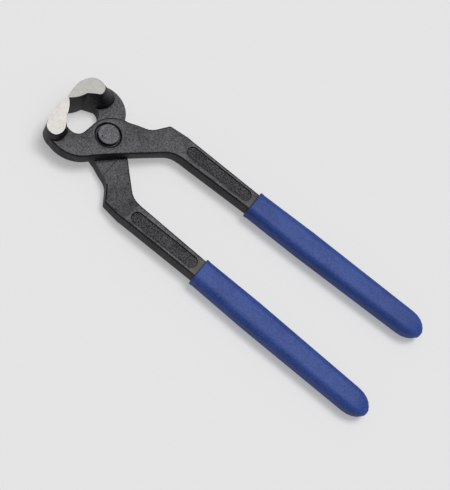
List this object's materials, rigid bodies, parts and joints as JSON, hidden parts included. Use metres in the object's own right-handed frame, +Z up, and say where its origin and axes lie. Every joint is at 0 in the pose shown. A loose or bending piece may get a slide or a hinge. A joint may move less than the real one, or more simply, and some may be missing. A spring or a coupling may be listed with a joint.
{
  "type": "end pincers",
  "caption": "End pincers with a riveted half-lap joint, ground jaw faces, recessed rein panels and dipped soft grips; the lower lever swings open on the rivet.",
  "frame": {"origin": "on the rivet's axis, at the underside of the lower lever's head", "axes": "+X from the jaws towards the handles along the tool, +Y across the tool towards the upper lever's handle, +Z up along the rivet"},
  "size_m": [0.215, 0.067, 0.019],
  "materials": {
    "black_steel": "forged skin with black oxide, jaw faces ground bright",
    "rivet_steel": "black oxide, satin",
    "blue_vinyl": "dipped soft vinyl, matt"
  },
  "bodies": {
    "front_half": {"front_lever": "black_steel", "pivot_rivet": "rivet_steel", "front_grip": "blue_vinyl"},
    "rear_half": {"rear_lever": "black_steel", "rear_grip": "blue_vinyl"}
  },
  "joints": [
    {"name": "pincer_pivot", "type": "hinge", "parent": "front_half", "child": "rear_half", "pos_m": [0, 0, 0.007], "axis": [0, 0, -1], "range_deg": [0, 38]}
  ]
}
